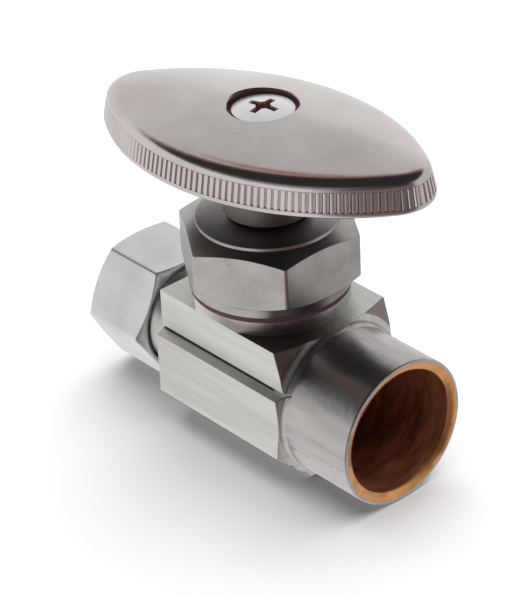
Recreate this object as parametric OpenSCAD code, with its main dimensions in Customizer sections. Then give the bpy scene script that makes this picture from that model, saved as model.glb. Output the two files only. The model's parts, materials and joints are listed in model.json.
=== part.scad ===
// Straight multi-turn stop valve: solder cup inlet, compression outlet, oval handle.
// Origin on the flat base, straight below the stem. +X runs along the flow axis to the
// solder cup and +Z runs up the stem.

/* [Body block] */
// Height of the flow axis above the flat base
flow_height = 9.6; // [9.4:0.1:10.2]
// Height of the body block
block_height = 19.3; // [19:0.1:20]
// Distance from the stem axis to the block face at the nut end
block_nut_end = 10.6; // [10.4:0.1:11]
// Half width of the block above the side groove
upper_half_width = 9.08; // [9:0.02:9.2]
// Half width of the block below the side groove
lower_half_width = 10.1; // [9.9:0.1:10.4]
// Height of the ledge where the lower wall begins
ledge_height = 13.3; // [12.8:0.1:13.8]
// Height where the lower wall meets the bottom chamfer
wall_foot_height = 5.0; // [4.6:0.1:5.4]
// Half width of the flat base
base_half_width = 4.7; // [4.2:0.1:5.2]

/* [Solder cup] */
// Inner radius of the solder cup, for a tube of 5/8 inch outer diameter
cup_radius = 7.98; // [7.96:0.01:8.02]
// Outer radius of the cup barrel
barrel_radius = 9.49; // [9.4:0.01:9.5]
// Distance from the stem axis to the mouth of the cup
cup_mouth = 22.89; // [22:0.1:24]
// Depth of the cup
cup_depth = 12.7; // [12:0.1:12.7]

/* [Neck and bonnet] */
// Radius of the round neck under the bonnet
neck_radius = 9.8; // [9.6:0.1:10]
// Height of the neck's top face
neck_top = 21.1; // [21:0.1:21.4]
// Thickness of the bonnet gasket
gasket_thickness = 0.7; // [0.6:0.1:0.8]
// Width across the flats of the bonnet hexagon
bonnet_flats = 20.34; // [20.2:0.02:20.6]
// Turn of the bonnet hexagon about the stem, in degrees
bonnet_turn = 28; // [0:1:60]

/* [Stem and seat] */
// Radius of the smooth stem
stem_radius = 3.1; // [3:0.05:3.15]
// Outer radius of the stem thread
stem_thread_radius = 4.87; // [4.8:0.01:4.9]
// Rise of the stem for one turn
stem_lead = 1.27; // [1:0.01:1.27]
// Radius of the hole through the valve seat
seat_hole_radius = 3.4; // [3:0.1:3.5]
// Height of the valve seat
seat_height = 13; // [12.9:0.05:13]

/* [Handle] */
// Half length of the handle at its lip
handle_half_length = 23.42; // [22:0.1:25]
// Half width of the handle at its lip
handle_half_width = 12.75; // [12:0.1:13.5]
// Rounding radius of the handle's two points
handle_point_radius = 5.4; // [5:0.1:6]
// Height of the handle's lip
handle_lip_height = 38.6; // [38.2:0.1:39]
// Turn of the handle about the stem at rest, in degrees
handle_turn = 11.3; // [0:0.1:90]

/* [Compression nut] */
// Width across the flats of the compression nut
nut_flats = 15.875; // [15.5:0.005:16]
// Distance from the stem axis to the nut's inner face
nut_inner_face = 15.7; // [15.5:0.1:15.9]
// Length of the nut
nut_length = 10.75; // [10.6:0.05:11]
// Outer radius of the compression thread
outlet_thread_radius = 7.05; // [7:0.01:7.1]
// Pitch of the compression thread, 24 threads to the inch
outlet_pitch = 1.0583; // [1:0.0001:1.1]
// Radius of the hole through nut, sleeve and body, for a tube of 3/8 inch outer diameter
tube_hole_radius = 4.85; // [4.8:0.01:4.9]

/* [Hidden] */
$fn = 96;

tiny = 0.01;              // overlap that joins two shapes of one piece
bore_gap = 0.08;          // radial gap between a thread's crest and the bore around it
running_gap = 0.06;       // radial gap of a turning fit
end_gap = 0.05;           // gap between the end faces of two stacked pieces
rest_gap = 0.02;          // gap between faces that rest on each other
chamfer_slope = tan(30);  // rise of a hexagon's end chamfer for each unit of radius
cone_overrun = 0.2;       // how far a hexagon's turned outline reaches past its corners
ridge_height = 0.55;      // height of a thread's ridge, as a share of the pitch
ridge_crest = [0.42, 0.58]; // where a ridge's flat crest starts and ends, as shares of the pitch
ridge_undercut = 0.2;     // how far the thread's two ends lie below its root

// Body
block_cup_end = 12.2;       // block face at the barrel
end_cone_slope = 0.47;      // how far the block face falls back for each unit of radius
block_reach = 15;           // radius that holds every corner of the block
barrel_fillet = 1.5;
ledge_chamfer = 0.15;
groove_height = ledge_height + 0.35;
groove_depth = 0.5;
neck_foot = ledge_height + 2; // where the round neck starts inside the block, above the groove
groove_width = 0.55;
cup_chamfer = 0.45;         // depth of the chamfer at the cup's mouth
cup_chamfer_radius = 9.05;
rim_round = 0.25;
inlet_radius = 3.9;
inlet_height = 6.2;
inlet_end = 3.6;            // how far the inlet passage runs past the stem axis
chamber_radius = 6.8;
chamber_floor = 11.6;
seat_ring_radius = 4.6;
seat_land = 0.35;           // flat width of the seat's lip
bonnet_thread_radius = 8;
bonnet_thread_pitch = 1.25;
neck_bore_floor = 15.4;
outlet_radius = 2.9;
outlet_height = 11.4;
outlet_end = 5.4;           // where the outlet passage meets the chamber
relief_radius = 6.3;
relief_length = 1.4;
outlet_end_face = 21;
tube_stop = 13.6;           // where the tube's end comes to rest
ferrule_cone_radius = 5.85; // mouth of the sleeve's cone in the body

// Bonnet
collar_radius = 10.1;
collar_height = 1.2;
bonnet_hex_bottom = neck_top + gasket_thickness + collar_height;
bonnet_cone_top = 30.35;
bonnet_cone_radius = 8.95;
bonnet_cone_slope = 0.41;   // fall of the bonnet's top cone for each unit of radius
bonnet_step_top = 30.77;
bonnet_step_radius = 8.86;
bonnet_crown = 31.15;
bonnet_crown_radius = 5.5;
spigot_bottom = 15.7;
spigot_bore_radius = 6;
spigot_bore_top = 19.7;
stem_thread_stop = 26.7;
packing_radius = 4.3;
packing_top = 30.02;

// Stem, seen at rest on the seat
stem_foot = 16.35;
stem_foot_radius = 4.2;
stem_thread_bottom = 17.4;
stem_thread_top = 23.4;
drive_bottom = 36;
drive_flats = 4.8;
drive_gap = 0.05;
drive_relief = 0.2;         // round clearance above the foot of the squared end
stem_top = 42.7;
swivel_radius = 1.9;
swivel_depth = 3.4;
screw_hole_radius = 2.1;
screw_hole_depth = 7;

// Seat disc
holder_radius = 5.2;
holder_rim_bottom = 13.9;
holder_plate_bottom = 15.0;
holder_plate_top = 16.2;
washer_radius = 4.7;
washer_hole_radius = 1.6;
washer_screw_radius = 1.45;
washer_screw_head_radius = 2.6;
washer_screw_head = 1;
washer_screw_length = 4.4;
washer_screw_room = 0.3;    // free depth past the screw's end
washer_screw_slot = 0.8;
washer_screw_slot_depth = 0.5;

// Packing
o_ring_section = 0.58;
packing_washer_thickness = 0.6;
o_ring_spacer_thickness = 0.26;

// Handle: each level is [inset from the lip, height above the lip, scale of the outline]
edge_inset = 1.5;
edge_rise = 4.7;
crown_rise = 2.3;
shell_rim = [[0.25, 0, 1], [0, 0.25, 1], [0, 0.9, 1], [0.6, 3.75, 1], [1, 4.4, 1],
    [edge_inset, edge_rise, 1]];
shell_crown = [for (k = [0.9, 0.75, 0.55, 0.3]) [edge_inset, edge_rise + crown_rise * (1 - k * k), k]];
hollow_levels = [[1.5, -1, 1], [2.1, 2.6, 1], [2.1, 3.7, 0.75], [2.1, 4.3, 0.5]];
point_steps = 8;
side_steps = 14;
hub_radius = 5.45;
hub_bottom = 31.45;
hub_into_crown = 0.5;
shell_top = handle_lip_height + edge_rise + crown_rise;
recess_radius = 4.34;
recess_floor = 43.85;
screw_head_radius = 3.85;
screw_head_rim = 0.93;
screw_head_crown = 0.45;
screw_shank_radius = 2.0;
screw_length = 6;
phillips_turn = 10;         // turn of the cross recess about the stem, in degrees
phillips_width = 0.95;
phillips_span = 4.4;
phillips_depth = 1.1;

// Nut and sleeve
nut_turn = 1.9;             // turn of the nut about the flow axis at rest, in degrees
nut_face_radius = 7.7;
nut_mouth_chamfer = 0.35;
nut_cone_slope = 0.5;       // rise of the step between the thread and the sleeve's cone
nut_thread_depth = 7.3;
nut_outer_face = nut_inner_face + nut_length;
sleeve_radius = 5.75;
sleeve_nose = 0.85;
sleeve_nose_radius = 5.0;
sleeve_gap = 0.1;           // radial gap between the sleeve and the cone around it
sleeve_length = 4.2;
sleeve_inner_end = 20.2;

// Shape turned about the flow axis: each point is [radius, distance along X]
module turned(points) {
    translate([0, 0, flow_height]) rotate([0, 90, 0]) rotate_extrude() polygon(points);
}

// Round bar along X from x1 to x2, centred at height z
module bar(x1, x2, r, z = flow_height) {
    translate([x1, 0, z]) rotate([0, 90, 0]) cylinder(h = x2 - x1, r = r);
}

// Profile of a ridged thread from a to b: points are [radius, distance], crest outwards
function ridge_points(r, pitch, a, b) = let (
    count = floor((b - a) / pitch),
    first = a + ((b - a) - count * pitch) / 2,
    root = r - ridge_height * pitch
) concat(
    [[0, a], [root - ridge_undercut, a], [root, first]],
    [for (i = [0 : count - 1]) each [
        [r, first + (i + ridge_crest[0]) * pitch], [r, first + (i + ridge_crest[1]) * pitch],
        [root, first + (i + 1) * pitch]
    ]],
    [[root - ridge_undercut, b], [0, b]]
);

// Hexagonal bar along Z, turned at each end to a cone that starts at that end's face radius
module hexagon(flats, z1, z2, face1, face2, slope2 = chamfer_slope) {
    corner = flats / 2 / cos(30);
    reach = corner + cone_overrun;
    intersection() {
        translate([0, 0, z1]) cylinder(h = z2 - z1, r = corner, $fn = 6);
        rotate_extrude() polygon([[0, z1], [face1, z1], [reach, z1 + (reach - face1) * chamfer_slope],
            [reach, z2 - (reach - face2) * slope2], [face2, z2], [0, z2]]);
    }
}

// Ring about Z
module ring(z1, z2, outer, inner) {
    difference() {
        translate([0, 0, z1]) cylinder(h = z2 - z1, r = outer);
        translate([0, 0, z1 - 1]) cylinder(h = z2 - z1 + 2, r = inner);
    }
}

// Half of the block's outline across the flow, on the side of +Y
side_outline = [[0, 0], [base_half_width, 0], [lower_half_width, wall_foot_height],
    [lower_half_width, ledge_height - ledge_chamfer], [lower_half_width - ledge_chamfer, ledge_height],
    [upper_half_width, groove_height],
    [upper_half_width - groove_depth, groove_height + groove_width / 2],
    [upper_half_width, groove_height + groove_width],
    [upper_half_width, block_height], [0, block_height]];

module block() {
    rotate([90, 0, 90])
        translate([0, 0, -block_nut_end])
            linear_extrude(block_nut_end + block_cup_end + barrel_fillet)
                for (side = [0, 1]) mirror([side, 0]) polygon(side_outline);
}

// Everything that the lathe leaves of the block, with the fillet at the barrel's foot
module turned_outside() {
    cone_fall = (block_reach - barrel_radius - barrel_fillet) * end_cone_slope;
    foot = block_cup_end - barrel_fillet * end_cone_slope;
    turned([[0, -block_nut_end], [block_reach, -block_nut_end], [block_reach, foot - cone_fall],
        [barrel_radius + barrel_fillet, foot],
        for (a = [10 : 10 : 80]) [barrel_radius + barrel_fillet * (1 - sin(a)),
            foot + barrel_fillet * (1 - cos(a))],
        [barrel_radius, foot + barrel_fillet], [0, foot + barrel_fillet]]);
}

module valve_body() {
    color("silver") difference() {
        union() {
            intersection() {
                block();
                turned_outside();
            }
            intersection() {
                translate([0, 0, neck_foot]) cylinder(h = neck_top - neck_foot, r = neck_radius);
                translate([-neck_radius, -upper_half_width, 0])
                    cube([2 * neck_radius, 2 * upper_half_width, neck_top]);
            }
            turned([[0, 0], [barrel_radius, 0], [barrel_radius, cup_mouth - rim_round],
                [barrel_radius - rim_round, cup_mouth], [0, cup_mouth]]);
            bar(-block_nut_end - relief_length - tiny, 0, relief_radius);
            turned(ridge_points(outlet_thread_radius, outlet_pitch,
                -outlet_end_face, -block_nut_end - relief_length));
        }
        turned([[0, cup_mouth - cup_depth], [cup_radius, cup_mouth - cup_depth],
            [cup_radius, cup_mouth - cup_chamfer], [cup_chamfer_radius, cup_mouth],
            [cup_chamfer_radius, cup_mouth + 1], [0, cup_mouth + 1]]);
        bar(-inlet_end, cup_mouth - cup_depth + 1, inlet_radius, inlet_height);
        translate([0, 0, inlet_height]) cylinder(h = neck_top, r = seat_hole_radius);
        rotate_extrude() polygon([[seat_ring_radius, chamber_floor], [chamber_radius, chamber_floor],
            [chamber_radius, neck_bore_floor + 1], [0, neck_bore_floor + 1], [0, seat_height],
            [seat_hole_radius + seat_land, seat_height]]);
        translate([0, 0, neck_bore_floor])
            cylinder(h = neck_top, r = bonnet_thread_radius + bore_gap);
        bar(-tube_stop - 1, -outlet_end, outlet_radius, outlet_height);
        bar(-outlet_end_face - 1, -tube_stop, tube_hole_radius);
        turned([[0, -outlet_end_face - 1], [ferrule_cone_radius + 1, -outlet_end_face - 1],
            [tube_hole_radius, -outlet_end_face + ferrule_cone_radius - tube_hole_radius],
            [0, -outlet_end_face + ferrule_cone_radius - tube_hole_radius]]);
    }
}

module bonnet() {
    color("gainsboro") difference() {
        union() {
            rotate([0, 0, bonnet_turn])
                hexagon(bonnet_flats, bonnet_hex_bottom, bonnet_cone_top, bonnet_flats / 2,
                    bonnet_cone_radius, bonnet_cone_slope);
            translate([0, 0, bonnet_hex_bottom - collar_height])
                cylinder(h = collar_height + 1, r = collar_radius);
            rotate_extrude() polygon([[0, bonnet_cone_top - tiny],
                [bonnet_step_radius, bonnet_cone_top - tiny], [bonnet_step_radius, bonnet_step_top],
                [bonnet_crown_radius, bonnet_crown], [0, bonnet_crown]]);
            rotate_extrude() polygon(ridge_points(bonnet_thread_radius, bonnet_thread_pitch,
                spigot_bottom, bonnet_hex_bottom - collar_height + tiny));
        }
        translate([0, 0, spigot_bottom - 1])
            cylinder(h = spigot_bore_top - spigot_bottom + 1, r = spigot_bore_radius);
        translate([0, 0, spigot_bottom])
            cylinder(h = stem_thread_stop - spigot_bottom, r = stem_thread_radius + bore_gap);
        translate([0, 0, spigot_bottom])
            cylinder(h = packing_top - spigot_bottom, r = packing_radius);
        translate([0, 0, spigot_bottom])
            cylinder(h = bonnet_crown, r = stem_radius + running_gap);
    }
}

module bonnet_gasket() {
    color("saddlebrown")
        ring(neck_top + end_gap / 2, neck_top + gasket_thickness - end_gap / 2,
            neck_radius + 0.1, bonnet_thread_radius + bore_gap);
}

// Squared end of the stem, and the socket for it in the handle when gap is added
module drive(z1, z2, gap) {
    intersection() {
        translate([0, 0, z1]) cylinder(h = z2 - z1, r = stem_radius + gap);
        translate([0, 0, (z1 + z2) / 2]) rotate([0, 0, handle_turn])
            cube([drive_flats + 2 * gap, drive_flats + 2 * gap, z2 - z1 + 1], center = true);
    }
}

module stem() {
    color("goldenrod") difference() {
        union() {
            translate([0, 0, stem_foot])
                cylinder(h = stem_thread_bottom - stem_foot + tiny, r = stem_foot_radius);
            rotate_extrude() polygon(ridge_points(stem_thread_radius, stem_lead,
                stem_thread_bottom, stem_thread_top));
            translate([0, 0, stem_thread_top - tiny])
                cylinder(h = drive_bottom - stem_thread_top + 2 * tiny, r = stem_radius);
            drive(drive_bottom, stem_top, 0);
        }
        translate([0, 0, stem_foot - 1])
            cylinder(h = 1 + swivel_depth + running_gap, r = swivel_radius + bore_gap);
        translate([0, 0, stem_top - screw_hole_depth])
            cylinder(h = screw_hole_depth + 1, r = screw_hole_radius);
    }
}

module o_ring(z) {
    color("black") translate([0, 0, z]) rotate_extrude()
        translate([(packing_radius + stem_radius) / 2, 0]) circle(r = o_ring_section, $fn = 32);
}

lower_o_ring_height = stem_thread_stop + end_gap + packing_washer_thickness + rest_gap + o_ring_section;
upper_o_ring_height = packing_top - rest_gap - o_ring_section;

module lower_o_ring() {
    o_ring(lower_o_ring_height);
}

module upper_o_ring() {
    o_ring(upper_o_ring_height);
}

module o_ring_spacer() {
    middle = (lower_o_ring_height + upper_o_ring_height) / 2;
    color("white") ring(middle - o_ring_spacer_thickness / 2, middle + o_ring_spacer_thickness / 2,
        packing_radius - end_gap, stem_radius + running_gap);
}

module packing_washer() {
    color("gold") ring(stem_thread_stop + end_gap, stem_thread_stop + end_gap + packing_washer_thickness,
        packing_radius - rest_gap, stem_radius + running_gap);
}

module disc_holder() {
    color("darkgoldenrod") difference() {
        union() {
            translate([0, 0, holder_plate_bottom])
                cylinder(h = holder_plate_top - holder_plate_bottom, r = holder_radius);
            ring(holder_rim_bottom, holder_plate_bottom + tiny, holder_radius, washer_radius + end_gap);
            translate([0, 0, holder_plate_top - tiny])
                cylinder(h = stem_foot + swivel_depth - holder_plate_top, r = swivel_radius);
        }
        translate([0, 0, holder_plate_bottom - 1])
            cylinder(h = washer_screw_length - (holder_plate_bottom - seat_height) + 1 + washer_screw_room,
                r = washer_screw_radius + end_gap);
    }
}

module seat_washer() {
    color("dimgray") ring(seat_height + rest_gap, holder_plate_bottom - rest_gap,
        washer_radius, washer_hole_radius);
}

module seat_washer_screw() {
    color("gold") difference() {
        union() {
            translate([0, 0, seat_height - washer_screw_head])
                cylinder(h = washer_screw_head, r = washer_screw_head_radius);
            translate([0, 0, seat_height - tiny])
                cylinder(h = washer_screw_length, r = washer_screw_radius);
        }
        translate([0, 0, seat_height - washer_screw_head])
            cube([3 * washer_screw_head_radius, washer_screw_slot, 2 * washer_screw_slot_depth],
                center = true);
    }
}

// Points on an arc about [x, y], without the last one
function arc_points(x, y, r, from, to, steps) =
    [for (i = [0 : steps - 1]) let (a = from + (to - from) * i / steps) [x + r * cos(a), y + r * sin(a)]];

// Outline of the handle, drawn in by inset: two wide arcs that run into two round points
function handle_outline(inset) = let (
    point_centre = handle_half_length - handle_point_radius,
    waist = handle_half_width - handle_point_radius,
    arc_radius = (point_centre * point_centre + waist * waist) / (2 * waist),
    arc_centre = arc_radius - waist,
    side_radius = arc_radius + handle_point_radius - inset,
    point_radius = handle_point_radius - inset,
    join = atan2(arc_centre, point_centre)
) concat(
    arc_points(point_centre, 0, point_radius, -join, join, point_steps),
    arc_points(0, -arc_centre, side_radius, join, 180 - join, side_steps),
    arc_points(-point_centre, 0, point_radius, 180 - join, 180 + join, point_steps),
    arc_points(0, arc_centre, side_radius, 180 + join, 360 - join, side_steps)
);

// Closed shape through one outline for each level
module stack(levels) {
    count = 2 * (point_steps + side_steps);
    points = [for (level = levels) each [for (p = handle_outline(level[0]))
        [p[0] * level[2], p[1] * level[2], handle_lip_height + level[1]]]];
    walls = [for (k = [0 : len(levels) - 2]) each [for (i = [0 : count - 1]) let (j = (i + 1) % count)
        [k * count + i, (k + 1) * count + i, (k + 1) * count + j, k * count + j]]];
    floor_face = [for (i = [0 : count - 1]) i];
    roof_face = [for (i = [count - 1 : -1 : 0]) (len(levels) - 1) * count + i];
    polyhedron(points, concat([floor_face], walls, [roof_face]));
}

module handle() {
    color("lightgray") difference() {
        union() {
            rotate([0, 0, handle_turn]) difference() {
                stack(concat(shell_rim, shell_crown));
                stack(hollow_levels);
            }
            translate([0, 0, hub_bottom])
                cylinder(h = recess_floor + hub_into_crown - hub_bottom, r = hub_radius);
        }
        translate([0, 0, hub_bottom - 1])
            cylinder(h = drive_bottom - hub_bottom + 1 + drive_relief, r = stem_radius + drive_gap);
        drive(drive_bottom, stem_top + 2 * drive_gap, drive_gap);
        translate([0, 0, drive_bottom])
            cylinder(h = recess_floor - drive_bottom + 1, r = screw_hole_radius + 2 * drive_gap);
        translate([0, 0, recess_floor]) cylinder(h = shell_top - recess_floor + 1, r = recess_radius);
    }
}

module handle_screw() {
    head_bottom = recess_floor + rest_gap;
    rim_top = head_bottom + screw_head_rim;
    dome = (pow(screw_head_radius, 2) + pow(screw_head_crown, 2)) / 2 / screw_head_crown;
    color("whitesmoke") difference() {
        union() {
            intersection() {
                translate([0, 0, head_bottom])
                    cylinder(h = screw_head_rim + screw_head_crown, r = screw_head_radius);
                translate([0, 0, rim_top + screw_head_crown - dome]) sphere(r = dome);
            }
            translate([0, 0, head_bottom - screw_length])
                cylinder(h = screw_length + tiny, r = screw_shank_radius);
        }
        for (turn = [phillips_turn, phillips_turn + 90])
            translate([0, 0, rim_top + screw_head_crown])
                rotate([0, 0, turn])
                    cube([phillips_span, phillips_width, 2 * phillips_depth], center = true);
    }
}

module compression_nut() {
    thread_bore = outlet_thread_radius + bore_gap;
    cone_mouth = sleeve_radius + sleeve_gap;
    cone_start = nut_inner_face + nut_thread_depth
        + (outlet_thread_radius - sleeve_radius) * nut_cone_slope;
    color("silver") translate([0, 0, flow_height]) rotate([nut_turn, 0, 0]) rotate([0, -90, 0])
    difference() {
        hexagon(nut_flats, nut_inner_face, nut_outer_face, nut_face_radius, nut_face_radius);
        rotate_extrude() polygon([[0, nut_inner_face - 1],
            [thread_bore + nut_mouth_chamfer, nut_inner_face - 1],
            [thread_bore + nut_mouth_chamfer, nut_inner_face],
            [thread_bore, nut_inner_face + nut_mouth_chamfer],
            [thread_bore, nut_inner_face + nut_thread_depth],
            [cone_mouth, cone_start],
            [tube_hole_radius, cone_start + cone_mouth - tube_hole_radius],
            [tube_hole_radius, nut_outer_face + 1], [0, nut_outer_face + 1]]);
    }
}

module compression_sleeve() {
    outer_end = sleeve_inner_end + sleeve_length;
    color("peru") difference() {
        turned([[0, -outer_end], [sleeve_nose_radius, -outer_end],
            [sleeve_radius, -outer_end + sleeve_nose], [sleeve_radius, -sleeve_inner_end - sleeve_nose],
            [sleeve_nose_radius, -sleeve_inner_end], [0, -sleeve_inner_end]]);
        bar(-outer_end - 1, -sleeve_inner_end + 1, tube_hole_radius);
    }
}

valve_body();
bonnet();
bonnet_gasket();
stem();
lower_o_ring();
upper_o_ring();
o_ring_spacer();
packing_washer();
disc_holder();
seat_washer();
seat_washer_screw();
handle();
handle_screw();
compression_nut();
compression_sleeve();
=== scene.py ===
"""Straight stop valve: plated brass body, hexagonal bonnet, oval reeded handle, compression nut."""
import json
import math

import bmesh
import bpy
from mathutils import Matrix, Vector


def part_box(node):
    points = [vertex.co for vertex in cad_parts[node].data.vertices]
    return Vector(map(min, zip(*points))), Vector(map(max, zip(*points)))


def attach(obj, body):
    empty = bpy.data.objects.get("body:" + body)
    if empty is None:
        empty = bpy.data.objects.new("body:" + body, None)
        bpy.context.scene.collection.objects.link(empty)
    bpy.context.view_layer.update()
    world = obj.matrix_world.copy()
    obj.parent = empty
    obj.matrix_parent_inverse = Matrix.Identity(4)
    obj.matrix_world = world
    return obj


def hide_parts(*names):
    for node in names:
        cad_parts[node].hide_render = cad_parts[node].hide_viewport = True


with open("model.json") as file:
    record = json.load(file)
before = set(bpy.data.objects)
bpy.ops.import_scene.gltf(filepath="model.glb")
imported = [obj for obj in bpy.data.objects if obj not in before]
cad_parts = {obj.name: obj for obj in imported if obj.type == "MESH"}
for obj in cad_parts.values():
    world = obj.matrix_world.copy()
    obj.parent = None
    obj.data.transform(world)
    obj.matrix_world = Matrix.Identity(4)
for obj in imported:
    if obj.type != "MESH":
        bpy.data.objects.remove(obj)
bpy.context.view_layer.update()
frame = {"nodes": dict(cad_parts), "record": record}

MM = 0.001  # pieces are drawn in millimetres and made metres at the end


# ---------------------------------------------------------------- sizes, in millimetres

def box_mm(node):
    """Lowest and highest corner of a CAD node."""
    low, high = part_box(node)
    return low / MM, high / MM


BODY_LOW, BODY_HIGH = box_mm("valve_body")
BONNET_LOW, BONNET_HIGH = box_mm("bonnet")
NUT_LOW, NUT_HIGH = box_mm("compression_nut")
HUB_FOOT = box_mm("handle")[0].z
STEM_TOP = box_mm("stem")[1].z
SCREW_FOOT = box_mm("handle_screw")[0].z
MOUNTS = {m["name"]: m for m in frame["record"]["mounts"]}

# the flow axis runs along X, with the solder cup towards +X and the outlet towards -X
AXIS_Z = MOUNTS["inlet_socket"]["pos_m"][2] / MM
CUP_R = MOUNTS["inlet_socket"]["dims"]["r_mm"]
TUBE_R = MOUNTS["outlet_socket"]["dims"]["r_mm"]
CUP_MOUTH = BODY_HIGH.x
CUP_FLOOR = CUP_MOUTH - 12.7
CUP_STEP = 0.25
CHAMFER_R, CHAMFER_LONG = 9.05, 0.45       # mouth of the cup
OUTLET_END = BODY_LOW.x

# block under the neck: its base, its sides up to the ledge, and its sides above the groove
BLOCK_NUT_END, BLOCK_CUP_END, BLOCK_TOP = -10.6, 12.2, 19.3
BASE_HALF, FOOT_Z = 4.7, 5.0
LOWER_HALF, LEDGE_Z = BODY_HIGH.y, 13.3
UPPER_HALF = 9.08
GROOVE_FOOT, GROOVE_MIDDLE, GROOVE_TOP = LEDGE_Z + 0.35, LEDGE_Z + 0.62, LEDGE_Z + 0.9
GROOVE_DEEP = 0.5
NECK_R, NECK_FOOT, NECK_TOP = 9.8, LEDGE_Z + 2, BODY_HIGH.z

# the block's face round the barrel is a cone, and a fillet leads from it to the barrel
BARREL_R, BARREL_FILLET = 9.49, 1.5
END_CONE = 0.47                            # how far the face falls back for each unit of radius
FILLET_R = BARREL_R + BARREL_FILLET
FILLET_FOOT = BLOCK_CUP_END - BARREL_FILLET * END_CONE
END_LINE = FILLET_FOOT + FILLET_R * END_CONE   # x + END_CONE * radius, anywhere on that face

# passages: cup, seat, the chamber round the seat, outlet
INLET_R, INLET_Z, INLET_END = 3.9, 6.2, -3.6
SEAT_R, SEAT_LIP_R, SEAT_ROOT_R, SEAT_TOP = 3.4, 3.75, 4.6, 13.0
CHAMBER_R, CHAMBER_FLOOR, CHAMBER_TOP = 6.8, 11.6, 16.4
NECK_BORE_R, NECK_BORE_FOOT = 8.08, 15.4
OUTLET_R, OUTLET_Z, OUTLET_INNER, OUTLET_OUTER = 2.9, 11.4, -5.4, -14.6
TUBE_MOUTH_R, TUBE_CONE, TUBE_STOP = 6.85, 1.0, -13.6

THREAD_R = 7.05                            # compression thread's crest
THREAD_PITCH = 25.4 / 24
THREAD_SHARE = 0.55                        # depth of a thread for each unit of its pitch
THREAD_DEPTH = THREAD_SHARE * THREAD_PITCH
RELIEF_R, RELIEF_LONG = 6.3, 1.4           # plain run between the block and the thread
HEX_SLOPE = 0.577                          # how far a hexagon's turned corners fall back

# handle: two tip arcs joined by two long side arcs
HANDLE_TURN = math.radians(11.3)
HANDLE_LONG, HANDLE_WIDE = 23.42, 12.75    # half length and half width
HANDLE_POINT = 5.4                         # radius of the tips
TIP_STEPS, SIDE_STEPS = 22, 86
LIP_Z, LIP_ROLL = 38.6, 0.35
EDGE_INSET, EDGE_RISE, CROWN_RISE = 1.76, 4.7, 2.3
RECESS_R, RECESS_FLOOR = 4.34, 43.85
SCREW_SEAT, SCREW_RIM, SCREW_CROWN = 43.87, 0.93, 0.45
SCREW_TOP = SCREW_SEAT + SCREW_RIM + SCREW_CROWN
CROSS_LONG = 4.5                           # from end to end of the cross's arms
RIBS = 136
RIB_FOOT, RIB_LONG, RIB_DEPTH = 0.82, 2.2, 0.24   # above the lip, length, depth of the grooves
RIM_SLOPE = 0.21                           # how far the rim leans in for each unit of height
RIM_INSET = RIM_SLOPE * (RIB_LONG + 0.1)   # how far in it is just over the ribs

PAST = 1.0                                 # how far a cutter stands out of what it cuts
FINE_STEPS = 192                           # points round the barrel and its cup
SHARP = math.radians(32)                   # edges that turn more than this stay sharp

# viewer: angles in degrees, distance in metres, and an aim right of and above where the axes cross
VIEW_TURN, VIEW_RISE, VIEW_ROLL = 49.583, 31.198, -2.708
VIEW_DISTANCE, VIEW_LENS = 0.32154, 155.78
VIEW_AIM = (-1.202, 7.777)


# ---------------------------------------------------------------- solids

def placed(name, data):
    """New object in the scene."""
    piece = bpy.data.objects.new(name, data)
    bpy.context.scene.collection.objects.link(piece)
    return piece


def solid(name, bm):
    """Object from a bmesh, with its faces turned outwards."""
    bmesh.ops.recalc_face_normals(bm, faces=bm.faces)
    mesh = bpy.data.meshes.new(name)
    bm.to_mesh(mesh)
    bm.free()
    return placed(name, mesh)


def arc(*degrees):
    """Angles in radians."""
    return [math.radians(d) for d in degrees]


def on_flow_axis(turn):
    """Takes a piece drawn about Z to the flow axis, turned about Y."""
    return Matrix.Translation((0, 0, AXIS_Z)) @ Matrix.Rotation(turn, 4, "Y")


def lathe(outline, along="Z", steps=144):
    """Solid turned from (radius, height) points about Z, or about the flow axis."""
    bm = bmesh.new()
    rings = []
    for radius, height in outline:
        if radius < 1e-6:
            rings.append([bm.verts.new((0, 0, height))])
        else:
            rings.append([bm.verts.new((radius * math.cos(a), radius * math.sin(a), height))
                          for a in (math.tau * k / steps for k in range(steps))])
    for low, high in zip(rings, rings[1:] + rings[:1]):
        for k in range(steps):
            j = (k + 1) % steps
            corners = [low[k % len(low)], low[j % len(low)], high[j % len(high)], high[k % len(high)]]
            corners = list(dict.fromkeys(corners))
            if len(corners) > 2:
                bm.faces.new(corners)
    if along == "X":
        bmesh.ops.transform(bm, matrix=on_flow_axis(math.pi / 2), verts=bm.verts)
    return solid("turned", bm)


def rounded(outline, radius):
    """Outline with its corners rounded; corners on the axis (first value 0) stay as they are."""
    steps = 3
    points = [Vector(p) for p in outline]
    result = []
    for k, here in enumerate(points):
        back, ahead = points[k - 1] - here, points[(k + 1) % len(points)] - here
        if abs(here.x) < 1e-6 or back.length < 1e-6 or ahead.length < 1e-6:
            result.append(tuple(here))
            continue
        inner = back.angle(ahead)
        if inner > math.radians(160):
            result.append(tuple(here))
            continue
        reach = min(radius / math.tan(inner / 2), 0.45 * back.length, 0.45 * ahead.length)
        first, last = here + back.normalized() * reach, here + ahead.normalized() * reach
        for i in range(steps + 1):
            t = i / steps
            result.append(tuple(first * (1 - t) ** 2 + here * 2 * t * (1 - t) + last * t * t))
    return result


def rod(radius, start, end, along="Z", height=None):
    """Plain cylinder between two stations of an axis, moved to a height if one is given."""
    piece = lathe([(0, start), (radius, start), (radius, end), (0, end)], along)
    if height is not None:
        piece.data.transform(Matrix.Translation((0, 0, height - AXIS_Z)))
    return piece


def wall(bm, first, last):
    """Faces between two loops with the same number of points."""
    for k in range(len(first)):
        j = (k + 1) % len(first)
        bm.faces.new([first[k], first[j], last[j], last[k]])


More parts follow.
